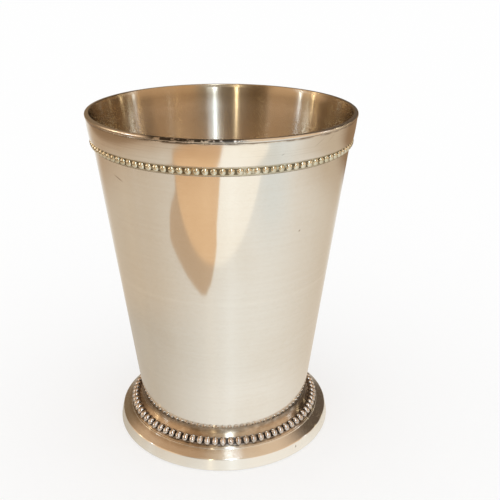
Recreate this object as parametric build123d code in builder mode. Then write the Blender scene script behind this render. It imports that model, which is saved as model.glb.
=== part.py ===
from build123d import *
from math import floor, pi, sqrt
import os

# A beaded julep cup. Millimetres, +Z up. The origin is the centre of the foot, on the table.

# Body: the tapered wall and the floor let into it
CUP_HEIGHT = 107.0  # table to the top of the lip
WALL_TOP_DIAMETER = 80.5  # outside of the sheet, under the lip
WALL_FOOT_DIAMETER = 56.3  # outside of the sheet, where the foot meets it
WALL_SHEET = 0.65
MOUTH_EASE = 0.25  # how far the inside leans out at the mouth
MOUTH_EASE_DEPTH = 2.4
SOLDER_FILM = 0.05  # thin film between curved faces that are fitted together
FLOOR_DROP = 2.7  # top of the foot to the underside of the floor
FLOOR_SHEET = 0.8
WALL_SKIRT = 0.4  # wall left standing below the floor
FLOOR_SEAM_LEG = 0.8

# Rim: lip wire, plain band and bead wire
LIP_HEIGHT = 1.0
LIP_OVERHANG = 0.2  # lip beyond the band
LIP_ROUND = 0.6
BAND_HEIGHT = 6.5
BAND_THICKNESS = 0.75
BAND_CROWN = 0.1  # how far the band's face swells in the middle
RIM_STRIP_HEIGHT = 2.5
RIM_STRIP_THICKNESS = 0.3
RIM_BEAD_DIAMETER = 2.1
RIM_BEAD_GAP = 0.17  # between neighbouring beads
RIM_BEAD_SINK = 0.1  # bead centres behind the face of the wall
RIM_SEAM_LEG = 0.25

# Foot: spun sheet with a turned-in base, and its bead wire
FOOT_DIAMETER = 72.2  # at the table, before its edge is rounded
FOOT_HEIGHT = 9.6  # table to where the collar meets the wall
FOOT_SHEET = 0.9
FLANGE_WIDTH = 3.0  # flat ring that stands on the table
PLINTH_HEIGHT = 3.8
PLINTH_TAPER = 0.8  # how far the plinth leans in
PLINTH_BASE_ROUND = 0.4
PLINTH_TOP_ROUND = 0.5
SHOULDER_WIDTH = 3.15
SHOULDER_RISE = 1.65
COVE_RADIUS = 3.0  # where shoulder and collar meet
RIDGE_WIDTH = 0.5  # thin raised line at the foot of the collar
FOOT_STRIP_WIDTH = 2.5
FOOT_STRIP_THICKNESS = 0.3
FOOT_BEAD_DIAMETER = 2.25
FOOT_BEAD_GAP = 0.2
FOOT_BEAD_SEAT = 0.5  # bead centres in front of the face of the collar
FOOT_BEAD_RIDGE_GAP = 1.2  # ridge to the edge of the beads, up the collar
FOOT_SEAM_LEG = 0.88  # along each face, if the corner were square

# Heights shared by the pieces
wall_top = CUP_HEIGHT - LIP_HEIGHT
band_bottom = wall_top - BAND_HEIGHT
floor_bottom = FOOT_HEIGHT - FLOOR_DROP
floor_top = floor_bottom + FLOOR_SHEET
wall_bottom = floor_bottom - WALL_SKIRT
wall_lean = (WALL_TOP_DIAMETER - WALL_FOOT_DIAMETER) / 2 / (wall_top - FOOT_HEIGHT)


def wall_outside(height):
    """Outer radius of the wall at a height."""
    return WALL_FOOT_DIAMETER / 2 + wall_lean * (height - FOOT_HEIGHT)


def wall_inside(height):
    """Inner radius of the wall at a height, below the eased mouth."""
    return wall_outside(height) - WALL_SHEET


def round_wall(height):
    """Inner radius of what is fitted round the outside of the wall."""
    return wall_outside(height) + SOLDER_FILM


def within_wall(height):
    """Outer radius of what is fitted inside the wall."""
    return wall_inside(height) - SOLDER_FILM


def turn(outline, mode=Mode.ADD):
    """Revolve a closed outline of (radius, height) points about the cup's axis."""
    with BuildSketch(Plane.XZ) as section:
        with BuildLine():
            Polyline(*outline, close=True)
        make_face()
    revolve(section.sketch, axis=Axis.Z, mode=mode)


def beads_round(circle_diameter, bead_diameter, gap):
    """How many beads fit round a circle with at least the given gap."""
    return floor(pi * circle_diameter / (bead_diameter + gap))


def wall_core(low, high):
    """Outline of the room that the wall takes between two heights."""
    return [(0, low), (round_wall(low), low), (round_wall(high), high), (0, high)]


# Wall: a sheet rolled to a cone, with its mouth eased outwards
mouth_inside = wall_inside(wall_top) + MOUTH_EASE
ease_start = wall_top - MOUTH_EASE_DEPTH
with BuildPart() as cup_wall:
    turn(
        [
            (wall_inside(wall_bottom), wall_bottom),
            (wall_outside(wall_bottom), wall_bottom),
            (wall_outside(wall_top), wall_top),
            (mouth_inside, wall_top),
            (wall_inside(ease_start), ease_start),
        ]
    )

# Floor: a disc let into the lower end of the wall
with BuildPart() as cup_floor:
    turn(
        [
            (0, floor_bottom),
            (within_wall(floor_bottom), floor_bottom),
            (within_wall(floor_top), floor_top),
            (0, floor_top),
        ]
    )

# Solder in the inside corner, hollow-faced, so that the floor has no sharp crevice
floor_corner = Vector(within_wall(floor_top), floor_top)
floor_seam_inner = floor_corner - Vector(FLOOR_SEAM_LEG, 0)
floor_seam_upper = floor_corner + Vector(wall_lean, 1).normalized() * FLOOR_SEAM_LEG
with BuildPart() as floor_solder_seam:
    with BuildSketch(Plane.XZ):
        with BuildLine():
            Polyline(floor_seam_inner, floor_corner, floor_seam_upper)
            TangentArc(floor_seam_inner, floor_seam_upper, tangent=(1, 0))
        make_face()
    revolve(axis=Axis.Z)

# Rim band: a strip bent round the wall, with a slightly crowned face
band_middle = (band_bottom + wall_top) / 2
band_low_corner = (wall_outside(band_bottom) + BAND_THICKNESS, band_bottom)
band_crown_point = (wall_outside(band_middle) + BAND_THICKNESS + BAND_CROWN, band_middle)
band_top_corner = (wall_outside(wall_top) + BAND_THICKNESS, wall_top)
with BuildPart() as rim_band:
    with BuildSketch(Plane.XZ):
        with BuildLine():
            ThreePointArc(band_low_corner, band_crown_point, band_top_corner)
            Polyline(
                band_top_corner,
                (round_wall(wall_top), wall_top),
                (round_wall(band_bottom), band_bottom),
                band_low_corner,
            )
        make_face()
    revolve(axis=Axis.Z)

# Lip wire: half-round, seated on the edges of the wall and the band
lip_outside = band_top_corner[0] + LIP_OVERHANG
lip_round = min(LIP_ROUND, 0.45 * (lip_outside - mouth_inside), 0.9 * LIP_HEIGHT)
with BuildPart() as lip_wire:
    with BuildSketch(Plane.XZ):
        with BuildLine():
            Polyline(
                (mouth_inside, wall_top),
                (lip_outside, wall_top),
                (lip_outside, CUP_HEIGHT),
                (mouth_inside, CUP_HEIGHT),
                close=True,
            )
        make_face()
        fillet(vertices().group_by(Axis.Y)[-1], radius=lip_round)
    revolve(axis=Axis.Z)

# Rim bead wire: a thin strip with a row of half beads, flat against the wall
rim_strip_bottom = band_bottom - RIM_STRIP_HEIGHT
rim_bead_height = band_bottom - RIM_STRIP_HEIGHT / 2
rim_bead_circle = wall_outside(rim_bead_height) - RIM_BEAD_SINK
rim_bead_count = beads_round(2 * rim_bead_circle, RIM_BEAD_DIAMETER, RIM_BEAD_GAP)
with BuildPart() as rim_bead_wire:
    turn(
        [
            (wall_inside(rim_strip_bottom), rim_strip_bottom),
            (wall_outside(rim_strip_bottom) + RIM_STRIP_THICKNESS, rim_strip_bottom),
            (wall_outside(band_bottom) + RIM_STRIP_THICKNESS, band_bottom),
            (wall_inside(band_bottom), band_bottom),
        ]
    )
    with Locations((0, 0, rim_bead_height)):
        with PolarLocations(rim_bead_circle, rim_bead_count):
            Sphere(RIM_BEAD_DIAMETER / 2)
    turn(wall_core(rim_strip_bottom - RIM_STRIP_HEIGHT, wall_top), mode=Mode.SUBTRACT)

# Solder along the lower edge of the bead strip
rim_seam_bottom = rim_strip_bottom - RIM_SEAM_LEG
rim_seam_out = min(RIM_SEAM_LEG, RIM_STRIP_THICKNESS)
with BuildPart() as rim_solder_seam:
    turn(
        [
            (round_wall(rim_strip_bottom), rim_strip_bottom),
            (round_wall(rim_seam_bottom), rim_seam_bottom),
            (round_wall(rim_strip_bottom) + rim_seam_out, rim_strip_bottom),
        ]
    )

# Outer line of the foot, from the inner edge of its base up to the wall
foot_radius = FOOT_DIAMETER / 2
base_inner = Vector(foot_radius - FLANGE_WIDTH, 0)
base_corner = Vector(foot_radius, 0)
plinth_corner = Vector(foot_radius - PLINTH_TAPER, PLINTH_HEIGHT)
ridge_point = plinth_corner + Vector(-SHOULDER_WIDTH, SHOULDER_RISE)
collar_top = Vector(wall_outside(FOOT_HEIGHT), FOOT_HEIGHT)
up_collar = (collar_top - ridge_point).normalized()
off_collar = Vector(up_collar.Y, -up_collar.X)
collar_end = collar_top + up_collar * FOOT_SHEET
foot_line = [base_inner, base_corner, plinth_corner, ridge_point, collar_end]


def sheet_back(line, thickness):
    """The far face of a bent sheet: the line moved to its left by the thickness."""
    runs = [(end - start).normalized() for start, end in zip(line, line[1:])]
    sides = [Vector(-run.Y, run.X) * thickness for run in runs]
    back = [line[0] + sides[0]]
    for corner, before, after in zip(line[1:], sides, sides[1:]):
        bisector = before + after
        back.append(corner + bisector * (thickness**2 / before.dot(bisector)))
    back.append(line[-1] + sides[-1])
    return back


# Foot ring: sheet spun to a plinth, a shoulder and a collar that is cut to fit the wall
foot_back = sheet_back(foot_line, FOOT_SHEET)
with BuildPart() as foot_ring:
    with BuildSketch(Plane.XZ):
        with BuildLine():
            FilletPolyline(*foot_line, radius=[PLINTH_BASE_ROUND, PLINTH_TOP_ROUND, COVE_RADIUS])
            Polyline(collar_end, *reversed(foot_back), base_inner)
        make_face()
    revolve(axis=Axis.Z)
    with BuildSketch(Plane.XZ):
        with Locations(ridge_point):
            Circle(RIDGE_WIDTH / 2)
    revolve(axis=Axis.Z)
    turn(wall_core(0, FOOT_HEIGHT + FOOT_SHEET + FLANGE_WIDTH), mode=Mode.SUBTRACT)

# Foot bead wire: a thin strip with a row of beads, laid on the collar just above the ridge
foot_bead_run = FOOT_BEAD_RIDGE_GAP + FOOT_BEAD_DIAMETER / 2
foot_bead_foot = ridge_point + up_collar * foot_bead_run
foot_bead_centre = foot_bead_foot + off_collar * FOOT_BEAD_SEAT
foot_bead_count = beads_round(2 * foot_bead_centre.X, FOOT_BEAD_DIAMETER, FOOT_BEAD_GAP)
half_strip = up_collar * (FOOT_STRIP_WIDTH / 2)
strip_face = off_collar * FOOT_STRIP_THICKNESS
strip_seat = foot_bead_foot + off_collar * SOLDER_FILM
bead_reach = up_collar * FOOT_BEAD_DIAMETER
bead_depth = off_collar * FOOT_BEAD_DIAMETER
with BuildPart() as foot_bead_wire:
    turn(
        [
            foot_bead_foot - half_strip - strip_face,
            foot_bead_foot - half_strip + strip_face,
            foot_bead_foot + half_strip + strip_face,
            foot_bead_foot + half_strip - strip_face,
        ]
    )
    with Locations((0, 0, foot_bead_centre.Y)):
        with PolarLocations(foot_bead_centre.X, foot_bead_count):
            Sphere(FOOT_BEAD_DIAMETER / 2)
    turn(
        [
            strip_seat - bead_reach,
            strip_seat + bead_reach,
            strip_seat + bead_reach - bead_depth,
            strip_seat - bead_reach - bead_depth,
        ],
        mode=Mode.SUBTRACT,
    )

# Solder under the collar, in the corner between the back of the foot and the wall. A narrow
# corner takes it deeper than a square one, so that its section stays the same.
collar_back = foot_back[-1] - off_collar * SOLDER_FILM
back_overrun = (round_wall(collar_back.Y) - collar_back.X) / (up_collar.X - wall_lean * up_collar.Y)
seam_corner = collar_back + up_collar * back_overrun
down_wall = Vector(-wall_lean, -1).normalized()
corner_sine = up_collar.X * down_wall.Y - up_collar.Y * down_wall.X
seam_run = FOOT_SEAM_LEG / sqrt(corner_sine)
with BuildPart() as foot_solder_seam:
    turn([seam_corner, seam_corner + down_wall * seam_run, seam_corner - up_collar * seam_run])

os.makedirs("parts", exist_ok=True)
pieces = {
    "cup_wall": cup_wall,
    "cup_floor": cup_floor,
    "floor_solder_seam": floor_solder_seam,
    "rim_band": rim_band,
    "lip_wire": lip_wire,
    "rim_bead_wire": rim_bead_wire,
    "rim_solder_seam": rim_solder_seam,
    "foot_ring": foot_ring,
    "foot_bead_wire": foot_bead_wire,
    "foot_solder_seam": foot_solder_seam,
}
for name, piece in pieces.items():
    piece.part.label = name
    export_step(piece.part, f"parts/{name}.step")
print("rim beads", rim_bead_count, "foot beads", foot_bead_count)
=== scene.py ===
from math import cos, pi, radians, sin, tan

import bpy
from mathutils import Matrix, Vector


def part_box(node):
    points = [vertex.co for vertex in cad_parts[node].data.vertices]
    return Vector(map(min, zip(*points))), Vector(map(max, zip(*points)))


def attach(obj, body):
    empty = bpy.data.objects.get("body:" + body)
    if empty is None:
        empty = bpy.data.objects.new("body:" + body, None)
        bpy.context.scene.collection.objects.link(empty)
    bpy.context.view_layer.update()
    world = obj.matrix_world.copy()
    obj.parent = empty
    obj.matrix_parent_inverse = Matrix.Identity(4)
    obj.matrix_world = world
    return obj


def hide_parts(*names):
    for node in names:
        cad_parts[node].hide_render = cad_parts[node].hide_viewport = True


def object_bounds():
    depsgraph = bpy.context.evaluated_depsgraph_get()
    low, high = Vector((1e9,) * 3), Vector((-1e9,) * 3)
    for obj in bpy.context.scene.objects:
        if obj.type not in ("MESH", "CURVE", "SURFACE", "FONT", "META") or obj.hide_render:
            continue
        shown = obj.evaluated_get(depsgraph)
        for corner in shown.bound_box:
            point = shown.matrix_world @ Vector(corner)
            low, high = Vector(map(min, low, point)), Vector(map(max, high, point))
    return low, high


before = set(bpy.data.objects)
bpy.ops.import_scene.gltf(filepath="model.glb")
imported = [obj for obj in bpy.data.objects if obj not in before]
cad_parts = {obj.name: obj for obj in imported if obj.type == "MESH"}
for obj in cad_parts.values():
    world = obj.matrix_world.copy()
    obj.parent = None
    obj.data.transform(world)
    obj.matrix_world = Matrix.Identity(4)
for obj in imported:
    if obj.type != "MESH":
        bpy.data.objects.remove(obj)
cad_low, cad_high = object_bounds()
mm = 0.001

# Cup wall: silver-plated sheet brass rolled to a cone, soldered up one side and spun true. The
# outside is buffed to a mirror and the inside keeps its spun lines. Its mouth is eased outwards.
WALL_SHEET = 0.65 * mm
WALL_LEAN = 0.1255
MOUTH_EASE = 0.1 * mm
MOUTH_EASE_DEPTH = 2.4 * mm
SHEET_EDGE_ROUND = 0.15 * mm
TURNED_SEGMENTS = 256
SHARP_BEND = radians(50)
CLEAN_SILVER = (0.80, 0.765, 0.70, 1)
WARM_SILVER = (0.75, 0.69, 0.60, 1)
WORN_SILVER = (0.90, 0.87, 0.80, 1)
SCRATCH_BROWN = (0.30, 0.23, 0.16, 1)
INSIDE_SILVER = (0.70, 0.63, 0.53, 1)
INSIDE_BRIGHT = (0.85, 0.765, 0.64, 1)
INSIDE_BROWN = (0.64, 0.555, 0.445, 1)
INSIDE_DARK = (0.51, 0.43, 0.32, 1)
HAZE_ROUGHNESS = 0.38
GRAIN_ROUGHNESS = 0.55
UPRIGHT_TURN = 0.25
WORN_RING_HEIGHT = 57 * mm
WORN_RING_REACH = 1.3 * mm
MOUTH_DARK_START = 98.5 * mm
MOUTH_DARK_FULL = 105 * mm
CLEAN_START = 99 * mm
CLEAN_FULL = 87 * mm
SIDE_SHADE_START = 28 * mm
SIDE_SHADE_FULL = 37 * mm
# bearing in degrees, height, length, half width and slope of each scratch
WALL_MARKS = (
    (-49, 92.4 * mm, 4.2 * mm, 0.3 * mm, -0.32),
    (36, 78 * mm, 0.9 * mm, 0.3 * mm, 0.9),
)
wall_low, wall_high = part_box("cup_wall")


def rounded(corners, steps=5):
    """An outline from corners of (radius, height, rounding), with an arc at each rounded one."""
    outline = []
    for place, (radius, height, rounding) in enumerate(corners):
        corner = Vector((radius, height))
        if rounding == 0:
            outline.append(corner)
            continue
        before = (Vector(corners[place - 1][:2]) - corner).normalized()
        after = (Vector(corners[(place + 1) % len(corners)][:2]) - corner).normalized()
        half_angle = before.angle(after) / 2
        centre = corner + (before + after).normalized() * (rounding / sin(half_angle))
        first = corner + before * (rounding / tan(half_angle)) - centre
        last = corner + after * (rounding / tan(half_angle)) - centre
        for step in range(steps + 1):
            outline.append(centre + first.slerp(last, step / steps) * rounding)
    return outline


def turned(name, outline):
    """A closed mesh turned about the cup's axis from an anticlockwise outline.

    At a gentle bend the normal leans to the longer run beside it, so that a flat face shades flat up
    to its ends. A sharp bend shades as an edge.
    """

    def lean(run, beside):
        if run.angle(beside) < SHARP_BEND:
            run = run * run.length + beside * beside.length
        return Vector((run.y, -run.x)).normalized()

    def on_circle(point, spoke):
        angle = 2 * pi * spoke / TURNED_SEGMENTS
        return (point.x * cos(angle), point.x * sin(angle), point.y)

    rings = []
    places = []
    for point in outline:
        spokes = TURNED_SEGMENTS if point.x > 0 else 1
        rings.append([len(places) + spoke % spokes for spoke in range(TURNED_SEGMENTS + 1)])
        places += [on_circle(point, spoke) for spoke in range(spokes)]
    runs = [end - start for start, end in zip(outline, outline[1:] + outline[:1])]
    faces = []
    normals = []
    for place, run in enumerate(runs):
        ahead = (place + 1) % len(runs)
        start_lean = lean(run, runs[place - 1])
        end_lean = lean(run, runs[ahead])
        for spoke in range(TURNED_SEGMENTS):
            corners = {
                rings[place][spoke]: on_circle(start_lean, spoke),
                rings[place][spoke + 1]: on_circle(start_lean, spoke + 1),
                rings[ahead][spoke + 1]: on_circle(end_lean, spoke + 1),
                rings[ahead][spoke]: on_circle(end_lean, spoke),
            }
            if len(corners) > 2:
                faces.append(list(corners))
                normals += corners.values()
    mesh = bpy.data.meshes.new(name)
    mesh.from_pydata(places, [], faces)
    mesh.shade_smooth()
    mesh.normals_split_custom_set(normals)
    piece = bpy.data.objects.new(name, mesh)
    bpy.context.scene.collection.objects.link(piece)
    return piece


class Amount:
    """A number that varies over a surface. Sums with it add Math nodes to its finish."""

    def __init__(self, finish, socket):
        self.finish = finish
        self.socket = socket

    def beside(self, name):
        """Another output of the same node."""
        return Amount(self.finish, self.socket.node.outputs[name])

    def sum(self, operation, first, second=0.0):
        """What a Math node makes of two numbers."""
        return self.finish.add("ShaderNodeMath", {"operation": operation}, {0: first, 1: second})

    def __add__(self, other):
        return self.sum("ADD", self, other)

    def __sub__(self, other):
        return self.sum("SUBTRACT", self, other)

    def __rsub__(self, other):
        return self.sum("SUBTRACT", other, self)

    def __mul__(self, other):
        return self.sum("MULTIPLY", self, other)

    def __pow__(self, other):
        return self.sum("POWER", self, other)

    def __abs__(self):
        return self.sum("ABSOLUTE", self)

    __radd__ = __add__
    __rmul__ = __mul__


class Finish:
    """One material's nodes, with the places on the cup that its patterns are drawn from."""

    def __init__(self, name):
        self.material = bpy.data.materials.new(name)
        self.material.use_nodes = True
        self.tree = self.material.node_tree
        self.tree.nodes.clear()
        self.place = self.add("ShaderNodeTexCoord", {}, {}, "Object")
        self.x = self.add("ShaderNodeSeparateXYZ", {}, {0: self.place})
        self.y = self.x.beside("Y")
        self.z = self.x.beside("Z")
        self.radius = (self.x * self.x + self.y * self.y) ** 0.5
        self.bearing = self.x.sum("ARCTAN2", self.x, 0 - self.y)

    def add(self, kind, settings, inputs, output=0):
        """Any node: its settings first, then the values or links of its sockets."""
        node = self.tree.nodes.new(kind)
        for name, value in settings.items():
            setattr(node, name, value)
        for name, value in inputs.items():
            if isinstance(value, Amount):
                self.tree.links.new(value.socket, node.inputs[name])
            else:
                node.inputs[name].default_value = value
        return Amount(self, node.outputs[output])

    def step(self, amount, low, high):
        """0 below low and 1 above high, with a soft step between. low may be the larger."""
        inputs = {"Value": amount, "From Min": low, "From Max": high}
        return self.add("ShaderNodeMapRange", {"interpolation_type": "SMOOTHSTEP"}, inputs)

    def near(self, amount, centre, reach):
        """1 at a value and 0 beyond its reach to either side."""
        return self.step(abs(amount - centre), reach, 0)

    def grain(self, across, up, detail=2.0, offset=0.0):
        """Noise from 0 to 1 with so many grains to the metre across and up the cup."""
        scaled = self.add(
            "ShaderNodeVectorMath",
            {"operation": "MULTIPLY_ADD"},
            {0: self.place, 1: (across, across, up), 2: (offset, offset, offset)},
        )
        inputs = {"Vector": scaled, "Scale": 1.0, "Detail": detail, "Roughness": GRAIN_ROUGHNESS}
        return self.add("ShaderNodeTexNoise", {}, inputs)

    def mix(self, share, first, second):
        """A blend of two colours, with this share of the second."""
        inputs = {0: share, 6: first, 7: second}
        return self.add("ShaderNodeMix", {"data_type": "RGBA"}, inputs, 2)

    def marks(self, scratches):
        """1 on short straight scratches. Their bearings run from the front to the right."""
        total = 0.0
        for bearing, height, length, half_width, slope in scratches:
            right = (self.bearing - radians(bearing)) * self.radius
            up = self.z - height
            along = right * cos(slope) + up * sin(slope)
            aside = up * cos(slope) - right * sin(slope)
            total = total + self.near(along, 0, length / 2) ** 0.5 * self.near(aside, 0, half_width)
        return total

    def metal(self, colour, roughness, relief, relief_depth, brushed, haze=0.0):
        """The finished metal. Brushed, its polish is drawn out up and down, across the spun lines.

        Haze is the share of light that old buffing lines draw out in the same way, but further.
        """
        normal = self.add("ShaderNodeBump", {}, {"Height": relief, "Distance": relief_depth})
        lobes = []
        for lobe_roughness, drawn_out in ((roughness, brushed), (HAZE_ROUGHNESS, 1.0)):
            inputs = {
                "Base Color": colour,
                "Metallic": 1.0,
                "Roughness": lobe_roughness,
                "Anisotropic": drawn_out,
                "Anisotropic Rotation": UPRIGHT_TURN,
                "Normal": normal,
            }
            lobes.append(self.add("ShaderNodeBsdfPrincipled", {}, inputs))
        self.add_output(self.add("ShaderNodeMixShader", {}, {0: haze, 1: lobes[0], 2: lobes[1]}))

    def glow(self, colour):
        """A surface that shows one even tone, however it is lit."""
        self.add_output(self.add("ShaderNodeEmission", {}, {"Color": colour}))

    def add_output(self, surface):
        """The end of the tree, which shows this surface."""
        output = self.tree.nodes.new("ShaderNodeOutputMaterial")
        self.tree.links.new(surface.socket, output.inputs["Surface"])


def wall_outside(height):
    """Outer radius of the wall at a height."""
    return wall_high.x + WALL_LEAN * (height - wall_high.z)


def wall_inside(height):
    """Inner radius of the wall at a height, below the eased mouth."""
    return wall_outside(height) - WALL_SHEET


def wall_outline():
    """Up the outside of the sheet, over its edge and down the inside."""
    steps = 8
    mouth = []
    for step in range(steps + 1):
        share = 1 - step / steps
        height = wall_high.z - MOUTH_EASE_DEPTH * (1 - share)
        mouth.append((wall_inside(height) + MOUTH_EASE * share**2, height, 0))
    return rounded(
        [
            (wall_inside(wall_low.z), wall_low.z, SHEET_EDGE_ROUND),
            (wall_outside(wall_low.z), wall_low.z, SHEET_EDGE_ROUND),
            (wall_outside(wall_high.z), wall_high.z, 0),
            *mouth,
        ]
    )


def outside_silver():
    """Mirror-bright plate: faint level lines, thin clouds of tarnish and a few small scratches."""
    finish = Finish("wall_outside_silver")
    lines = finish.grain(25, 1400, 3.0)
    speckle = finish.grain(900, 1500, 2.0, 11.0)
    clouds = finish.grain(38, 30, 4.0, 3.0)
    dents = finish.grain(45, 30, 1.0, 7.0)
    worn_ring = finish.near(finish.z, WORN_RING_HEIGHT, WORN_RING_REACH) * finish.step(clouds, 0.3, 0.6)
    marks = finish.marks(WALL_MARKS)
    dull = finish.step(clouds, 0.45, 0.8) * 0.6 + finish.step(lines + speckle, 0.8, 1.3) * 0.25
    silver = finish.mix(dull, CLEAN_SILVER, WARM_SILVER)
    brightened = finish.mix(worn_ring * 0.2, silver, WORN_SILVER)
    colour = finish.mix(marks * 0.9, brightened, SCRATCH_BROWN)
    roughness = 0.045 + lines * 0.03 + clouds * 0.04
    finish.metal(colour, roughness, dents + lines * 0.015, 0.04 * mm, 0.0, 0.12)
    return finish.material


def inside_silver():
    """Spun and never buffed: its level lines draw every light out into an upright streak.

    It is darker under the mouth, painted darker at its left and right sides as shade, and brightest
    lower down.
    """
    finish = Finish("wall_inside_silver")
    lines = finish.grain(60, 3000, 3.0, 5.0)
    bloom = finish.grain(60, 45, 4.0, 1.0)
    speckle = finish.grain(500, 900, 3.0, 9.0)
    dents = finish.grain(60, 40, 1.0, 4.0)
    # Painted shade: the inside is darkened towards its left and right.
    sides = finish.step(abs(finish.x), SIDE_SHADE_START, SIDE_SHADE_FULL)
    # Darker under the mouth.
    darkening = finish.step(finish.z, MOUTH_DARK_START, MOUTH_DARK_FULL)
    clean = finish.step(finish.z, CLEAN_START, CLEAN_FULL)
    bloomed = finish.mix(finish.step(bloom + speckle, 0.85, 1.25), INSIDE_SILVER, INSIDE_BROWN)
    silver = finish.mix(clean, bloomed, INSIDE_BRIGHT)
    colour = finish.mix(sides + darkening, silver, INSIDE_DARK)
    roughness = 0.205 + lines * 0.02 + speckle * 0.02 - darkening * 0.03
    finish.metal(colour, roughness, dents, 0.005 * mm, 1.0)
    return finish.material


def fit(piece, node, slot, *materials):
    """Give a piece its finishes, unless it has them already, and set it in place of its CAD node."""
    if not piece.data.materials:
        for material in materials:
            piece.data.materials.append(material)
    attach(piece, "root")
    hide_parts(node)


wall = turned("wall", wall_outline())
for face in wall.data.polygons:
    middle_of_sheet = wall_inside(face.center.z) + WALL_SHEET / 2
    face.material_index = int(face.center.xy.length < middle_of_sheet)
fit(wall, "cup_wall", "silver_plate", outside_silver(), inside_silver())

# Cup floor: a flat disc of the same sheet, let into the lower end of the wall. A fillet of
# solder fills the corner inside, so that nothing collects there.
FLOOR_EDGE_ROUND = 0.1 * mm
SOLDER_GREY = (0.52, 0.475, 0.41, 1)
SOLDER_BROWN = (0.36, 0.30, 0.23, 1)
disc_low, disc_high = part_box("cup_floor")
corner_low, corner_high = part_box("floor_solder_seam")


def disc_outline():
    """From the middle of the underside, round the edge, to the middle of the top."""
    return rounded(
        [
            (0, disc_low.z, 0),
            (disc_high.x, disc_low.z, FLOOR_EDGE_ROUND),
            (disc_high.x, disc_high.z, FLOOR_EDGE_ROUND),
            (0, disc_high.z, 0),
        ]
    )


def disc_silver():
    """Plate turned on its face: fine rings, and a dull bloom where drink has stood."""
    finish = Finish("floor_silver")
    rings = finish.add(
        "ShaderNodeTexNoise",
        {"noise_dimensions": "1D"},
        {"W": finish.radius, "Scale": 1500.0, "Detail": 3.0},
    )
    bloom = finish.grain(70, 70, 4.0, 1.0)
    colour = finish.mix(finish.step(bloom, 0.4, 0.7), CLEAN_SILVER, WARM_SILVER)
    finish.metal(colour, 0.2 + rings * 0.08 + bloom * 0.14, rings, 0.002 * mm, 0.6)
    return finish.material


def solder(name):
    """Plated-over solder: duller and greyer than the sheet, with small runs and pits."""
    finish = Finish(name)
    runs = finish.grain(260, 420, 3.0)
    pits = finish.step(finish.grain(900, 900, 2.0, 5.0), 0.35, 0.2)
    colour = finish.mix(finish.step(runs, 0.35, 0.7) * 0.7 + pits * 0.3, SOLDER_GREY, SOLDER_BROWN)
    finish.metal(colour, 0.3 + runs * 0.18, runs - pits, 0.03 * mm, 0.0)
    return finish.material


def corner_outline():
    """A hollow-faced fillet between the floor and the wall."""
    steps = 8
    leg = corner_high.z - corner_low.z
    wall_foot = Vector((wall_inside(corner_low.z), corner_low.z))
    on_floor = wall_foot - Vector((leg, 0))
    on_wall = Vector((wall_inside(corner_high.z), corner_high.z))
    face = []
    for step in range(steps + 1):
        share = step / steps
        to_corner = on_wall.lerp(wall_foot, share)
        face.append(to_corner.lerp(wall_foot.lerp(on_floor, share), share))
    return [wall_foot, *face]


fit(turned("floor_disc", disc_outline()), "cup_floor", "silver_plate", disc_silver())
corner_seam = turned("floor_seam", corner_outline())
fit(corner_seam, "floor_solder_seam", "silver_solder", solder("floor_seam_solder"))

# Rim band: a plain strip bent round the wall and soldered there, with a slightly swelled face.
# It is buffed bright, and tarnish stays in the angle under the lip and above the beads.
# Under the lip that tarnish also stands as painted shade.
BAND_THICKNESS = 0.75 * mm
BAND_CROWN = 0.1 * mm
BAND_EDGE_ROUND = 0.16 * mm
TARNISH_BROWN = (0.20, 0.145, 0.095, 1)
BAND_MARKS = (
    (40, 104 * mm, 5 * mm, 0.08 * mm, 0.5),
    (47, 104.5 * mm, 4 * mm, 0.07 * mm, 0.6),
    (23, 102.2 * mm, 1.2 * mm, 0.14 * mm, 0.5),
)
band_low, band_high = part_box("rim_band")


def band_outline():
    """Out along the lower edge, up the swelled face and back along the upper edge."""
    steps = 14
    face = []
    for step in range(1, steps):
        share = step / steps
        height = band_low.z + (band_high.z - band_low.z) * share
        swell = BAND_CROWN * (1 - (2 * share - 1) ** 2)
        face.append((wall_outside(height) + BAND_THICKNESS + swell, height, 0))
    return rounded(
        [
            (wall_outside(band_low.z), band_low.z, 0),
            (wall_outside(band_low.z) + BAND_THICKNESS, band_low.z, BAND_EDGE_ROUND),
            *face,
            (wall_outside(band_high.z) + BAND_THICKNESS, band_high.z, BAND_EDGE_ROUND),
            (wall_outside(band_high.z), band_high.z, 0),
        ]
    )


def band_silver():
    """Bright plate with level lines, fine slanting scratches and tarnish along both edges."""
    finish = Finish("band_silver")
    lines = finish.grain(30, 2600, 3.0, 2.0)
    clouds = finish.grain(60, 60, 4.0, 9.0)
    patches = finish.step(finish.grain(220, 500, 3.0, 4.0), 0.3, 0.65)
    # Tarnish in patches under the lip, which also paints the shade there.
    upper = finish.step(finish.z, band_high.z - 0.7 * mm, band_high.z) * patches
    lower = finish.step(finish.z, band_low.z + 0.4 * mm, band_low.z) * patches
    marks = finish.marks(BAND_MARKS)
    silver = finish.mix(finish.step(clouds, 0.4, 0.75), CLEAN_SILVER, WARM_SILVER)
    worn = finish.mix(finish.step(lines, 0.5, 0.75) * 0.12, silver, SCRATCH_BROWN)
    colour = finish.mix(upper + lower * 0.5 + marks * 0.45, worn, TARNISH_BROWN)
    roughness = 0.08 + lines * 0.05 + clouds * 0.05 + upper * 0.2
    finish.metal(colour, roughness, lines + clouds * 2, 0.0025 * mm, 0.5)
    return finish.material


fit(turned("band", band_outline()), "rim_band", "silver_plate", band_silver())

# Lip wire: half-round wire soldered over the edges of the wall and the band. Years of use have
# worn its crown bright and left black spots of tarnish along both its edges at the front.
LIP_ROUND = 0.55 * mm
LIP_INNER_ROUND = 0.3 * mm
LIP_INNER_SLOPE = 0.15 * mm
LIP_LOWER_ROUND = 0.18 * mm
LIP_SPOTS_BEARING = radians(-11)
LIP_SPOTS_REACH = radians(22)
LIP_SPOTS_FULL = radians(14)
TARNISH_BLACK = (0.035, 0.028, 0.022, 1)
lip_low, lip_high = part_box("lip_wire")
lip_inside = wall_inside(wall_high.z) + MOUTH_EASE


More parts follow.
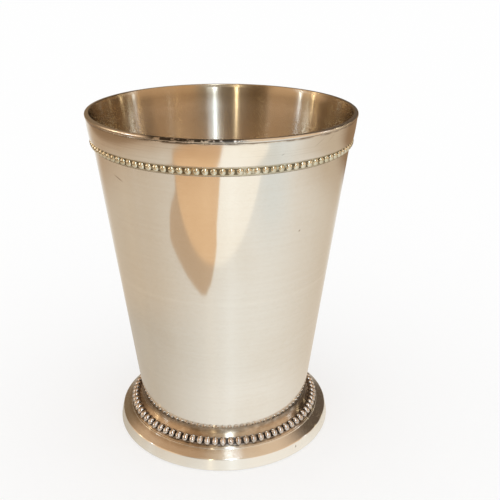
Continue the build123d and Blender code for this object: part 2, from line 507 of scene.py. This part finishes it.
def lip_outline():
    """Out along the flat underside, over the rounded crown and down the sloped inner side."""
    return rounded(
        [
            (lip_inside, lip_low.z, 0),
            (lip_high.x, lip_low.z, LIP_LOWER_ROUND),
            (lip_high.x, lip_high.z, LIP_ROUND),
            (lip_inside + LIP_INNER_SLOPE, lip_high.z, LIP_INNER_ROUND),
        ],
        steps=8,
    )


def lip_silver():
    """Bright crown, brown inside and where the wire meets the band, black spots in front."""
    finish = Finish("lip_silver")
    wear = finish.grain(120, 120, 4.0)
    fine_spots = finish.grain(1100, 1400, 3.0, 6.0)
    spots = finish.step(fine_spots + finish.grain(420, 420, 2.0, 2.0), 0.84, 0.96)
    outside = finish.step(finish.radius, lip_high.x - 0.45 * mm, lip_high.x - 0.2 * mm)
    low = finish.step(finish.z, lip_low.z + 0.35 * mm, lip_low.z + 0.1 * mm) * outside
    crown = finish.step(finish.z, lip_low.z + 0.3 * mm, lip_low.z + 0.5 * mm)
    front = finish.step(abs(finish.bearing - LIP_SPOTS_BEARING), LIP_SPOTS_REACH, LIP_SPOTS_FULL)
    black = spots * (crown + low) * front
    # Tarnish in patches where the wire meets the band, which also paints the shade under the lip.
    seam = low * finish.step(wear, 0.25, 0.6)
    inner = finish.step(finish.radius, lip_inside + 0.5 * mm, lip_inside + 0.15 * mm)
    outer_silver = finish.mix(finish.step(wear, 0.4, 0.7), CLEAN_SILVER, WARM_SILVER)
    silver = finish.mix(inner, outer_silver, INSIDE_DARK)
    browned = finish.mix(seam * 0.7 + crown * front * 0.6, silver, TARNISH_BROWN)
    colour = finish.mix(black * 0.95, browned, TARNISH_BLACK)
    finish.metal(colour, 0.16 + wear * 0.1 + front * 0.12, wear - black, 0.008 * mm, 0.3)
    return finish.material


fit(turned("lip", lip_outline()), "lip_wire", "silver_plate", lip_silver())

# Rim bead wire: a strip with a row of half beads, swaged in one length, bent round the wall under
# the band and soldered on. Polishing brightens the beads and leaves tarnish in the gaps between them,
# and the gaps are also painted darker as shade.
STRIP_THICKNESS = 0.3 * mm
STRIP_EDGE_ROUND = 0.1 * mm
RIM_BEAD_DIAMETER = 2.24 * mm
RIM_BEAD_SINK = 0.17 * mm
RIM_BEAD_COUNT = 108
RIM_BEAD_BACK = 0.2 * mm
RIM_BEAD_STRETCH = 1.09
RIM_TARNISH_AND_SHADE_DEPTHS = (0.38, 0.31)
RIM_TARNISH_AND_SHADE_REACH = 1.12
RIM_GAP_BROWN = (0.115, 0.09, 0.05, 1)
RIM_BEAD_TONES = ((0.72, 0.68, 0.55, 1), (0.60, 0.555, 0.41, 1))
BEAD_SEGMENTS = 14
BEAD_RINGS = 8
BEAD_UNEVENNESS = 0.03
BEAD_SEED = 4
TARNISH_AND_SHADE_FADE = 0.35
strip_low, strip_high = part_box("rim_bead_wire")


def strip_outline(lower_edge, upper_edge):
    """A strip laid between two points of the face that carries it."""
    up = (upper_edge - lower_edge).normalized()
    off = Vector((up.y, -up.x)) * STRIP_THICKNESS
    corners = [lower_edge, lower_edge + off, upper_edge + off, upper_edge]
    return rounded([(corner.x, corner.y, STRIP_EDGE_ROUND) for corner in corners], steps=3)


def bead_row_tree():
    """Beads with flat backs, set round a circle on the strip that comes in."""
    tree = bpy.data.node_groups.new("bead_row", "GeometryNodeTree")
    sockets = tree.interface
    sockets.new_socket("Geometry", in_out="INPUT", socket_type="NodeSocketGeometry")
    numbers = (
        "Bead Radius",
        "Bead Stretch",
        "Circle Radius",
        "Circle Height",
        "Flat Back",
        "Tilt",
        "Unevenness",
    )
    for name in numbers:
        sockets.new_socket(name, in_out="INPUT", socket_type="NodeSocketFloat")
    sockets.new_socket("Count", in_out="INPUT", socket_type="NodeSocketInt")
    sockets.new_socket("Material", in_out="INPUT", socket_type="NodeSocketMaterial")
    sockets.new_socket("Geometry", in_out="OUTPUT", socket_type="NodeSocketGeometry")
    given = tree.nodes.new("NodeGroupInput").outputs

    def add(kind, settings, inputs, output=0):
        node = tree.nodes.new(kind)
        for name, value in settings.items():
            setattr(node, name, value)
        for name, value in inputs.items():
            if isinstance(value, bpy.types.NodeSocket):
                tree.links.new(value, node.inputs[name])
            else:
                node.inputs[name].default_value = value
        return node.outputs[output]

    def maths(operation, first, second):
        return add("ShaderNodeMath", {"operation": operation}, {0: first, 1: second})

    ball = add(
        "GeometryNodeMeshUVSphere",
        {},
        {"Segments": BEAD_SEGMENTS, "Rings": BEAD_RINGS, "Radius": given["Bead Radius"]},
    )
    place = add("GeometryNodeInputPosition", {}, {})
    depth = add("ShaderNodeSeparateXYZ", {}, {0: place})
    aside = depth.node.outputs["Y"]
    above = maths("MULTIPLY", depth.node.outputs["Z"], given["Bead Stretch"])
    kept_depth = maths("MAXIMUM", depth, given["Flat Back"])
    kept_place = add("ShaderNodeCombineXYZ", {}, {"X": kept_depth, "Y": aside, "Z": above})
    bead = add("GeometryNodeSetPosition", {}, {"Geometry": ball, "Position": kept_place})
    smooth_bead = add("GeometryNodeSetShadeSmooth", {}, {"Geometry": bead})
    ring = add(
        "GeometryNodeMeshCircle", {}, {"Vertices": given["Count"], "Radius": given["Circle Radius"]}
    )
    lift = add("ShaderNodeCombineXYZ", {}, {"Z": given["Circle Height"]})
    row = add("GeometryNodeSetPosition", {}, {"Geometry": ring, "Offset": lift})
    share = maths("DIVIDE", add("GeometryNodeInputIndex", {}, {}), given["Count"])
    turn = maths("MULTIPLY", share, 2 * pi)
    facing = add("ShaderNodeCombineXYZ", {}, {"Y": given["Tilt"], "Z": turn})
    smallest = maths("SUBTRACT", 1.0, given["Unevenness"])
    size = add(
        "FunctionNodeRandomValue",
        {"data_type": "FLOAT"},
        {2: smallest, 3: 1.0, "Seed": BEAD_SEED},
        1,
    )
    beads = add(
        "GeometryNodeInstanceOnPoints",
        {},
        {"Points": row, "Instance": smooth_bead, "Rotation": facing, "Scale": size},
    )
    solid_beads = add("GeometryNodeRealizeInstances", {}, {"Geometry": beads})
    joined = tree.nodes.new("GeometryNodeJoinGeometry")
    tree.links.new(given["Geometry"], joined.inputs[0])
    tree.links.new(solid_beads, joined.inputs[0])
    finished = add(
        "GeometryNodeSetMaterial", {}, {"Geometry": joined.outputs[0], "Material": given["Material"]}
    )
    tree.links.new(finished, tree.nodes.new("NodeGroupOutput").inputs[0])
    return tree


def add_beads(strip, material, centre, off_face, diameter, stretch, flat_back, count):
    """Set a row of beads on a strip and make the two one plain mesh.

    The centre of a bead is a radius and a height. The back of the bead is cut flat at a depth that is
    measured from there, positive off the face.
    """
    sizes = {
        "Bead Radius": diameter / 2,
        "Bead Stretch": stretch,
        "Circle Radius": centre.x,
        "Circle Height": centre.y,
        "Tilt": -off_face.angle_signed(Vector((1, 0))),
        "Flat Back": flat_back,
        "Unevenness": BEAD_UNEVENNESS,
        "Count": count,
        "Material": material,
    }
    row = strip.modifiers.new("bead_row", "NODES")
    row.node_group = bead_row
    for item in bead_row.interface.items_tree:
        if item.name in sizes:
            row[item.identifier] = sizes[item.name]
    evaluated = strip.evaluated_get(bpy.context.evaluated_depsgraph_get())
    strip.data = bpy.data.meshes.new_from_object(evaluated)
    strip.modifiers.clear()


def bead_silver(name, seat, off_face, proud, silver_tones, tarnish_and_shade_depths, tarnish_and_shade_reach, gap_colour):
    """Bright beads whose sides darken to the gaps, and a strip that is only a little brown.

    The depths of the tarnish and painted shade are the shares of the beads' height where they start
    and where they are full. Their reach is how far up and down the face the dark gaps go, also as a
    share of that height. The gaps are dark partly with tarnish and partly with painted shade.
    """
    finish = Finish(name)
    up_face = Vector((-off_face.y, off_face.x))
    height = finish.radius * off_face.x + finish.z * off_face.y - seat.dot(off_face)
    up = finish.radius * up_face.x + finish.z * up_face.y - seat.dot(up_face)
    start_depth, full_depth = tarnish_and_shade_depths
    dirt = finish.grain(500, 500, 3.0, 2.0)
    wear = finish.grain(90, 90, 3.0, 8.0)
    uneven_height = height + (dirt - 0.5) * (0.3 * proud)
    sunk = finish.step(uneven_height, start_depth * proud, full_depth * proud)
    # Tarnish and painted shade: the gaps between the beads are darkened down to the strip.
    gap = sunk * finish.step(abs(up), tarnish_and_shade_reach * proud, (tarnish_and_shade_reach - TARNISH_AND_SHADE_FADE) * proud)
    silver = finish.mix(finish.step(wear, 0.4, 0.7), *silver_tones)
    browned = finish.mix(sunk * 0.3, silver, TARNISH_BROWN)
    colour = finish.mix(gap * 0.93, browned, gap_colour)
    finish.metal(colour, 0.1 + wear * 0.06 + sunk * 0.2, dirt, 0.008 * mm, 0.0)
    return finish.material


bead_row = bead_row_tree()
off_wall = Vector((1, -WALL_LEAN)).normalized()
strip_foot = Vector((wall_outside(strip_low.z), strip_low.z))
strip_top = Vector((wall_outside(strip_high.z), strip_high.z))
rim_bead_seat = (strip_foot + strip_top) / 2
rim_bead_centre = rim_bead_seat - Vector((RIM_BEAD_SINK, 0))
rim_strip = turned("rim_beads", strip_outline(strip_foot, strip_top))
rim_bead_silver = bead_silver(
    "rim_bead_silver",
    rim_bead_seat,
    off_wall,
    RIM_BEAD_DIAMETER / 2 - RIM_BEAD_SINK,
    RIM_BEAD_TONES,
    RIM_TARNISH_AND_SHADE_DEPTHS,
    RIM_TARNISH_AND_SHADE_REACH,
    RIM_GAP_BROWN,
)
add_beads(
    rim_strip,
    rim_bead_silver,
    rim_bead_centre,
    off_wall,
    RIM_BEAD_DIAMETER,
    RIM_BEAD_STRETCH,
    RIM_BEAD_BACK,
    RIM_BEAD_COUNT,
)
fit(rim_strip, "rim_bead_wire", "beaded_silver", rim_bead_silver)

# Solder under the rim beads: a hairline fillet along the lower edge of the strip, run in from
# below, plated over and left a little dull.
RIM_SEAM_SWELL = 0.08 * mm
rim_seam_low, rim_seam_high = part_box("rim_solder_seam")
rim_seam_outline = [
    Vector((wall_outside(rim_seam_low.z), rim_seam_low.z)),
    Vector((wall_outside(rim_seam_low.z) + RIM_SEAM_SWELL, (rim_seam_low.z + rim_seam_high.z) / 2)),
    Vector((rim_seam_high.x, rim_seam_high.z)),
    Vector((wall_outside(rim_seam_high.z), rim_seam_high.z)),
]
rim_seam = turned("rim_seam", rim_seam_outline)
fit(rim_seam, "rim_solder_seam", "silver_solder", solder("rim_seam_solder"))

# Foot ring: thicker sheet spun over a former to a plinth, a shoulder, a thin ridge and a sloping
# collar, with its base turned in. It is pushed up over the wall and soldered from below.
FOOT_SHEET = 0.9 * mm
FOOT_RADIUS = 36.1 * mm
FOOT_HEIGHT = 9.6 * mm
FLANGE_WIDTH = 3.0 * mm
PLINTH_HEIGHT = 3.8 * mm
PLINTH_TAPER = 0.8 * mm
PLINTH_BASE_ROUND = 0.4 * mm
PLINTH_TOP_ROUND = 0.5 * mm
SHOULDER_WIDTH = 3.15 * mm
SHOULDER_RISE = 1.65 * mm
RIDGE_RADIUS = 0.25 * mm
COLLAR_SWEEP = 1.1 * mm
COLLAR_BROWN = (0.46, 0.375, 0.28, 1)
FOOT_MARKS = ((40, 2.4 * mm, 0.9 * mm, 0.4 * mm, 1.2),)
base_inner = Vector((FOOT_RADIUS - FLANGE_WIDTH, 0))
base_corner = Vector((FOOT_RADIUS, 0))
plinth_corner = Vector((FOOT_RADIUS - PLINTH_TAPER, PLINTH_HEIGHT))
ridge_point = plinth_corner + Vector((-SHOULDER_WIDTH, SHOULDER_RISE))
collar_top = Vector((wall_outside(FOOT_HEIGHT), FOOT_HEIGHT))
up_collar = (collar_top - ridge_point).normalized()
off_collar = Vector((up_collar.y, -up_collar.x))


def sheet_back(line, thickness):
    """The far face of a bent sheet: the line moved to its left by the thickness."""
    runs = [(end - start).normalized() for start, end in zip(line, line[1:])]
    sides = [Vector((-run.y, run.x)) * thickness for run in runs]
    back = [line[0] + sides[0]]
    for corner, before, after in zip(line[1:], sides, sides[1:]):
        bisector = before + after
        back.append(corner + bisector * (thickness**2 / before.dot(bisector)))
    back.append(line[-1] + sides[-1])
    return back


def foot_outline():
    """Round the outside from the base to the collar, then down the back of the sheet."""
    steps = 8
    down_shoulder = (plinth_corner - ridge_point).normalized()
    ridge = []
    for step in range(steps + 1):
        spoke = down_shoulder.slerp(up_collar, step / steps)
        ridge.append(ridge_point + spoke * RIDGE_RADIUS)
    sweep_start = collar_top - up_collar * COLLAR_SWEEP
    sweep_end = Vector((wall_outside(FOOT_HEIGHT + COLLAR_SWEEP), FOOT_HEIGHT + COLLAR_SWEEP))
    sweep = []
    for step in range(steps + 1):
        share = step / steps
        to_top = sweep_start.lerp(collar_top, share)
        sweep.append(to_top.lerp(collar_top.lerp(sweep_end, share), share))
    back = sheet_back([base_inner, base_corner, plinth_corner, ridge_point, collar_top], FOOT_SHEET)
    back_end = back[-1] + up_collar * (
        (wall_outside(back[-1].y) - back[-1].x) / (up_collar.x - WALL_LEAN * up_collar.y)
    )
    return rounded(
        [
            (base_inner.x, base_inner.y, SHEET_EDGE_ROUND),
            (base_corner.x, base_corner.y, PLINTH_BASE_ROUND),
            (plinth_corner.x, plinth_corner.y, PLINTH_TOP_ROUND),
            *[(point.x, point.y, 0) for point in ridge + sweep],
            (back_end.x, back_end.y, 0),
            *[(point.x, point.y, 0) for point in reversed(back[1:-1])],
            (back[0].x, back[0].y, SHEET_EDGE_ROUND),
        ]
    )


def foot_silver():
    """Bright on plinth and shoulder, brown on the collar, black dirt in the groove by the beads."""
    finish = Finish("foot_silver")
    lines = finish.grain(40, 2000, 3.0, 5.0)
    clouds = finish.grain(70, 70, 4.0, 2.0)
    dirt = finish.step(finish.grain(330, 500, 3.0, 3.0), 0.25, 0.6)
    specks = finish.step(finish.grain(600, 700, 3.0, 8.0), 0.45, 0.6)
    groove = finish.near(finish.radius, ridge_point.x - 0.85 * mm, 0.7 * mm)
    ridge = finish.near(finish.radius, ridge_point.x + 0.1 * mm, 0.35 * mm)
    collar = finish.step(finish.radius, ridge_point.x - 0.1 * mm, ridge_point.x - 0.5 * mm)
    # The collar is less brown from 20 to 55 degrees right of the front.
    paler_right = finish.step(finish.bearing, radians(20), radians(55))
    # Painted shade: the shoulder darkens near the ridge on the left of the front.
    left = finish.step(finish.bearing, radians(12), radians(-12))
    darkening = left * finish.step(finish.radius, ridge_point.x + 1.9 * mm, ridge_point.x + 0.3 * mm)
    # Darker where the collar meets the wall: partly dirt, partly painted shade.
    corner = finish.step(finish.radius, collar_top.x + 0.9 * mm, collar_top.x + 0.2 * mm)
    plinth = finish.step(finish.z, PLINTH_HEIGHT + 0.1 * mm, PLINTH_HEIGHT - 0.4 * mm)
    pit = finish.marks(FOOT_MARKS)
    silver = finish.mix(finish.step(clouds, 0.38, 0.72), CLEAN_SILVER, WARM_SILVER)
    # The plinth and ridge are worn bright and partly painted as a highlight.
    worn_and_highlit = finish.mix((plinth + ridge) * 0.6, silver, WORN_SILVER)
    brown_share = collar * (0.5 + dirt * 0.4 - paler_right * 0.35) + darkening * (0.1 + dirt * 0.5)
    toned = finish.mix(brown_share, worn_and_highlit, COLLAR_BROWN)
    # Painted shade: the collar darkens towards its far right.
    shade = collar * finish.near(finish.bearing, radians(68), radians(28))
    brown = groove * dirt + corner * dirt * 0.45 + shade * 0.7 + pit * 0.8
    browned = finish.mix(brown, toned, TARNISH_BROWN)
    colour = finish.mix(groove * specks * 0.9, browned, TARNISH_BLACK)
    roughness = 0.14 + lines * 0.05 + clouds * 0.03 + (groove + corner) * 0.15
    finish.metal(colour, roughness, lines + clouds * 2, 0.003 * mm, 0.95, 0.1)
    return finish.material


fit(turned("foot", foot_outline()), "foot_ring", "silver_plate", foot_silver())

# Foot bead wire: a second strip of half beads, laid on the collar just above the ridge and
# soldered there. It is harder to reach with a cloth, so it is darker than the row at the rim, and
# the black in the gaps between its beads is partly tarnish and partly painted shade.
FOOT_STRIP_WIDTH = 2.5 * mm
FOOT_BEAD_DIAMETER = 2.25 * mm
FOOT_BEAD_SEAT = 0.5 * mm
FOOT_BEAD_RIDGE_GAP = 1.2 * mm
FOOT_BEAD_COUNT = 79
FOOT_BEAD_BACK = -0.4 * mm
FOOT_BEAD_STRETCH = 1.28
FOOT_TARNISH_AND_SHADE_DEPTHS = (0.60, 0.36)
FOOT_TARNISH_AND_SHADE_REACH = 0.85
FOOT_BEAD_TONES = ((0.62, 0.575, 0.54, 1), (0.49, 0.44, 0.40, 1))
foot_bead_seat = ridge_point + up_collar * (FOOT_BEAD_RIDGE_GAP + FOOT_BEAD_DIAMETER / 2)
foot_bead_centre = foot_bead_seat + off_collar * FOOT_BEAD_SEAT
half_strip = up_collar * (FOOT_STRIP_WIDTH / 2)
foot_strip_outline = strip_outline(foot_bead_seat - half_strip, foot_bead_seat + half_strip)
foot_strip = turned("foot_beads", foot_strip_outline)
foot_bead_silver = bead_silver(
    "foot_bead_silver",
    foot_bead_seat,
    off_collar,
    FOOT_BEAD_DIAMETER / 2 + FOOT_BEAD_SEAT,
    FOOT_BEAD_TONES,
    FOOT_TARNISH_AND_SHADE_DEPTHS,
    FOOT_TARNISH_AND_SHADE_REACH,
    TARNISH_BLACK,
)
add_beads(
    foot_strip,
    foot_bead_silver,
    foot_bead_centre,
    off_collar,
    FOOT_BEAD_DIAMETER,
    FOOT_BEAD_STRETCH,
    FOOT_BEAD_BACK,
    FOOT_BEAD_COUNT,
)
fit(foot_strip, "foot_bead_wire", "beaded_silver", foot_bead_silver)

# Solder under the collar: a fillet run into the corner between the back of the foot and the wall,
# out of sight unless the cup is turned over.
FOOT_SEAM_EDGE = 0.25 * mm
foot_seam_low, foot_seam_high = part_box("foot_solder_seam")
foot_seam_outline = [
    Vector((wall_outside(foot_seam_low.z), foot_seam_low.z)),
    Vector((foot_seam_high.x, foot_seam_low.z + FOOT_SEAM_EDGE)),
    Vector((wall_outside(foot_seam_high.z), foot_seam_high.z)),
]
foot_seam = turned("foot_seam", foot_seam_outline)
fit(foot_seam, "foot_solder_seam", "silver_solder", solder("foot_seam_solder"))

# Table: a plain white top that the cup stands on. Over it lies a glowing sheet that only the silver
# sees, painted with the light and shade that a table has in a warm room, and a card glowing with a
# painted shadow that lies half in a painted pool of light.
TABLE_RADIUS = 4.0
TABLE_DROP = 0.1 * mm
SKY_WHITE = (1, 1, 1, 1)
TABLE_WHITE = (0.99, 0.99, 0.99, 1)
TABLE_BACKDROP_SHARE = 0.45
TONES_LIFT = 0.05 * mm
CARD_LIFT = 0.4 * mm
TABLE_FRONT = (0.98, 0.965, 0.92, 1)
TABLE_NEAR = (1.04, 1.025, 0.985, 1)
TABLE_LEFT = (0.69, 0.585, 0.465, 1)
TABLE_LEFT_NEAR = (0.625, 0.565, 0.485, 1)
TABLE_LEFT_FAR = (0.57, 0.42, 0.29, 1)
TABLE_RIGHT = (0.78, 0.69, 0.58, 1)
TABLE_RIGHT_FAR = (0.64, 0.52, 0.39, 1)
TABLE_COOL = (0.87, 0.905, 0.90, 1)
FLOOR_BROWN = (0.33, 0.21, 0.12, 1)
POOL_LIGHT = (1.17, 1.13, 1.04, 1)
POOL_CENTRE = Vector((0.036, -0.284))
POOL_LENGTH = 0.206
POOL_WIDTH = 0.130
POOL_TURN = -0.627
POOL_EDGE = 0.015
PAINTED_SHADOW_LIT = (0.93, 0.62, 0.36, 1)
PAINTED_SHADOW_DARK = (0.62, 0.45, 0.30, 1)
PAINTED_SHADOW_FAR = (0.74, 0.47, 0.265, 1)
PAINTED_SHADOW_CORNERS = (
    (-0.180, -0.36),
    (0.008, -0.36),
    (-0.007, -0.201),
    (-0.015, -0.155),
    (-0.014, -0.140),
    (-0.017, -0.127),
    (-0.022, -0.112),
    (-0.030, -0.102),
    (-0.036, -0.100),
    (-0.109, -0.099),
    (-0.121, -0.114),
    (-0.124, -0.127),
    (-0.121, -0.146),
    (-0.160, -0.200),
)


def flat_sheet(name, outline, height):
    """A flat face at a height, from an anticlockwise outline of (x, y) points."""
    mesh = bpy.data.meshes.new(name)
    mesh.from_pydata([(x, y, height) for x, y in outline], [], [range(len(outline))])
    sheet = bpy.data.objects.new(name, mesh)
    bpy.context.scene.collection.objects.link(sheet)
    return sheet


def circle(radius, points=96):
    """Points (x, y) round the cup's axis, anticlockwise."""
    turns = [2 * pi * point / points for point in range(points)]
    return [(radius * cos(turn), radius * sin(turn)) for turn in turns]


def only_mirrored(card):
    """A card or a lamp that shows in the silver and nowhere else."""
    card.visible_camera = False
    card.visible_diffuse = False
    card.visible_shadow = False


def table_paint():
    """Matt white that takes the cup's soft shadow, lifted towards plain white for the camera."""
    finish = Finish("table_white")
    speck = finish.grain(300, 300, 3.0)
    tone = finish.mix(speck * 0.01, TABLE_WHITE, WARM_SILVER)
    shaded = finish.add("ShaderNodeBsdfDiffuse", {}, {"Color": tone})
    backdrop = finish.add("ShaderNodeEmission", {}, {"Color": SKY_WHITE})
    seen = finish.add("ShaderNodeLightPath", {}, {}, "Is Camera Ray")
    inputs = {0: seen * TABLE_BACKDROP_SHARE, 1: shaded, 2: backdrop}
    finish.add_output(finish.add("ShaderNodeMixShader", {}, inputs))
    return finish.material


def in_pool(finish):
    """1 inside the oval pool of light and 0 outside it, with a crisp edge."""
    right = finish.x - POOL_CENTRE.x
    back = finish.y - POOL_CENTRE.y
    along = (right * cos(POOL_TURN) + back * sin(POOL_TURN)) * (1 / POOL_LENGTH)
    across = (back * cos(POOL_TURN) - right * sin(POOL_TURN)) * (1 / POOL_WIDTH)
    return finish.step((along * along + across * across) ** 0.5, 1 + POOL_EDGE, 1 - POOL_EDGE)


def table_painted_light():
    """Light in front and behind, tan to the left, warm to the right, and a brown floor beyond.

    These tones are painted light and shade, shown as a glow and brighter than white near the cup.
    Bearings are in degrees and distances from the cup's axis in metres.
    """
    finish = Finish("table_painted_light")

    def turned_to(start, full):
        return finish.step(finish.bearing, radians(start), radians(full))

    def out_from(start, full):
        return finish.step(finish.radius, start, full)

    to_left = turned_to(12, -85)
    to_right = turned_to(25, 125)
    far_left = to_left * out_from(0.19, 0.29)
    far_right = turned_to(45, 105) * out_from(0.18, 0.25)
    behind = finish.step(abs(finish.bearing), radians(130), radians(165))
    cool = finish.near(finish.bearing, radians(42), radians(28)) * out_from(0.12, 0.19)
    off_left = finish.step(finish.x, -0.270, -0.295)
    off_right = turned_to(103, 132) * out_from(0.24, 0.31)
    tone = finish.mix(out_from(0.065, 0.05), TABLE_FRONT, TABLE_NEAR)
    left = finish.mix(out_from(0.075, 0.11), TABLE_LEFT_NEAR, TABLE_LEFT)
    tone = finish.mix(to_left, tone, left)
    tone = finish.mix(far_left, tone, TABLE_LEFT_FAR)
    tone = finish.mix(to_right, tone, TABLE_RIGHT)
    tone = finish.mix(far_right, tone, TABLE_RIGHT_FAR)
    tone = finish.mix(cool, tone, TABLE_COOL)
    tone = finish.mix(behind, tone, TABLE_FRONT)
    tone = finish.mix(off_left + off_right, tone, FLOOR_BROWN)
    finish.glow(finish.mix(in_pool(finish), tone, POOL_LIGHT))
    return finish.material


# Painted shadow, glowing: tan where it lies in the painted pool of light, darker outside it.
def painted_shadow_tones():
    """Tan in the pool of light, darker in the shade nearer the cup, duller far off."""
    finish = Finish("painted_shadow_card")
    lit = finish.mix(finish.step(finish.radius, 0.17, 0.24), PAINTED_SHADOW_LIT, PAINTED_SHADOW_FAR)
    finish.glow(finish.mix(in_pool(finish), PAINTED_SHADOW_DARK, lit))
    return finish.material


table = flat_sheet("table", circle(TABLE_RADIUS), cad_low.z - TABLE_DROP)
table.data.materials.append(table_paint())
mirrored_table = flat_sheet("mirrored_table", circle(TABLE_RADIUS), TONES_LIFT)
mirrored_table.data.materials.append(table_painted_light())
only_mirrored(mirrored_table)
painted_shadow_card = flat_sheet("painted_shadow_card", PAINTED_SHADOW_CORNERS, CARD_LIFT)
painted_shadow_card.data.materials.append(painted_shadow_tones())
only_mirrored(painted_shadow_card)

# Room: a warm tent round the table that only the silver sees, glowing with painted light and shade:
# bright above on the right, with a dark corner behind it and shade in front. The light itself is a
# plain white sky.
ROOM_RADIUS = 3.0
ROOM_TAN = (0.57, 0.375, 0.225, 1)
ROOM_LIT = (0.98, 0.63, 0.355, 1)
ROOM_LEFT = (1.08, 0.78, 0.52, 1)
ROOM_RIGHT = (0.97, 0.67, 0.43, 1)
ROOM_PALE = (0.80, 0.69, 0.55, 1)
ROOM_BRIGHT = (0.86, 0.66, 0.48, 1)
ROOM_CREAM = (1.1, 1.0, 0.85, 1)
ROOM_SHADE = (0.56, 0.475, 0.375, 1)
ROOM_DIM = (0.24, 0.165, 0.10, 1)
ROOM_DARK = (0.12, 0.088, 0.064, 1)
# bearing and rise of each patch in degrees, how far it reaches, and its tone
ROOM_PATCHES = (
    (42, 13, 32, ROOM_LIT),
    (-80, 14, 46, ROOM_LEFT),
    (74, 13, 36, ROOM_RIGHT),
    (30, 54, 42, ROOM_PALE),
    (80, 62, 40, ROOM_BRIGHT),
    (-155, 4, 50, ROOM_DIM),
    (140, 18, 50, ROOM_DARK),
    (-30, 14, 20, ROOM_DIM),
    (0, 15, 30, ROOM_SHADE),
    (0, 36, 17, ROOM_CREAM),
    (-6, 24, 14, ROOM_DARK),
)


def direction(bearing, rise):
    """From the cup towards a bearing off the front and a rise, both in degrees."""
    level = cos(radians(rise))
    return Vector((sin(radians(bearing)) * level, -cos(radians(bearing)) * level, sin(radians(rise))))


def room_tent():
    """The upper half of a ball, open below, in level rings."""
    rings = 16
    spokes = 48
    places = []
    for ring in range(rings + 1):
        rise = pi / 2 * ring / rings
        for x, y in circle(ROOM_RADIUS * cos(rise), spokes):
            places.append((x, y, ROOM_RADIUS * sin(rise)))
    faces = []
    for ring in range(rings):
        for spoke in range(spokes):
            here = ring * spokes + spoke
            beside = ring * spokes + (spoke + 1) % spokes
            faces.append((here, here + spokes, beside + spokes, beside))
    mesh = bpy.data.meshes.new("room")
    mesh.from_pydata(places, [], faces)
    tent = bpy.data.objects.new("room", mesh)
    bpy.context.scene.collection.objects.link(tent)
    return tent


def room_painted_glow():
    """One tan, with each patch laid over those before it and fading out at its edge."""
    finish = Finish("room_painted_glow")
    tone = ROOM_TAN
    for bearing, rise, reach, patch in ROOM_PATCHES:
        facing = finish.add(
            "ShaderNodeVectorMath",
            {"operation": "DOT_PRODUCT"},
            {0: finish.place, 1: direction(bearing, rise) / ROOM_RADIUS},
            "Value",
        )
        tone = finish.mix(finish.step(facing, cos(radians(reach)), cos(radians(reach / 2))), tone, patch)
    # Painted light and shade: the tent glows with these tones.
    finish.glow(tone)
    finish.material.cycles.emission_sampling = "NONE"
    return finish.material


tent = room_tent()
tent.data.materials.append(room_painted_glow())
only_mirrored(tent)
sky = bpy.data.worlds.new("sky")
sky.use_nodes = True
sky.node_tree.nodes["Background"].inputs["Color"].default_value = SKY_WHITE
bpy.context.scene.world = sky

# Lamps that only the silver sees: a tall window behind the camera that goes on overhead, a warm
# standard lamp, and narrow lights at the sides for the streaks inside.
COOL_LIGHT = (0.63, 0.81, 1.0)
WARM_LIGHT = (1.0, 0.86, 0.60)
LAMP_DISTANCE = 1.6
LAMP_POWER_PER_RADIANCE = 4
# name, bearing from the front in degrees, rise in degrees, width, height, radiance, colour
LAMPS = (
    ("window_low", 7, 28, 0.07, 0.80, 10.0, COOL_LIGHT),
    ("window_edge", 9.5, 28, 0.27, 0.80, 1.5, COOL_LIGHT),
    ("window_high", 7, 56, 0.20, 0.70, 4.5, COOL_LIGHT),
    ("window_top", 45, 85, 0.10, 0.50, 1.4, COOL_LIGHT),
    ("standard_lamp", -14.3, 16, 0.045, 0.80, 8.5, WARM_LIGHT),
    ("left_window", -80, 12, 0.055, 0.66, 6.5, COOL_LIGHT),
    ("left_lamp", -96, 12, 0.045, 0.66, 6.0, WARM_LIGHT),
    ("right_window", 91, 12, 0.08, 0.66, 2.7, COOL_LIGHT),
    ("right_lamp", 107, 8, 0.05, 0.66, 3.6, WARM_LIGHT),
    ("far_right_lamp", 124, 8, 0.03, 0.66, 2.4, WARM_LIGHT),
)
cup_middle = Vector((0, 0, cad_high.z / 2))
for name, bearing, rise, width, height, radiance, colour in LAMPS:
    lamp = bpy.data.lights.new(name, "AREA")
    lamp.shape = "RECTANGLE"
    lamp.size = width
    lamp.size_y = height
    lamp.color = colour
    lamp.energy = LAMP_POWER_PER_RADIANCE * width * height * radiance
    holder = bpy.data.objects.new(name, lamp)
    outward = direction(bearing, rise)
    holder.location = cup_middle + outward * LAMP_DISTANCE
    holder.rotation_euler = (-outward).to_track_quat("-Z", "Y").to_euler()
    only_mirrored(holder)
    bpy.context.scene.collection.objects.link(holder)

# Camera: a little above the mouth and close, looking down and slightly past the cup.
CAMERA_PLACE = Vector((0, -0.2303, 0.1543))
CAMERA_PITCH = 0.3882
CAMERA_PAN = 0.0380
CAMERA_ROLL = 0.0057
CAMERA_LENS = 54.72
CAMERA_NEAREST = 0.01
camera = bpy.data.objects.new("camera", bpy.data.cameras.new("camera"))
camera.data.lens = CAMERA_LENS
camera.data.clip_start = CAMERA_NEAREST
looking = Matrix.Rotation(-CAMERA_PAN, 4, "Z") @ Matrix.Rotation(pi / 2 - CAMERA_PITCH, 4, "X")
camera.matrix_world = Matrix.Translation(CAMERA_PLACE) @ looking @ Matrix.Rotation(CAMERA_ROLL, 4, "Z")
bpy.context.scene.collection.objects.link(camera)
bpy.context.scene.camera = camera
bpy.context.scene.view_settings.view_transform = "Standard"
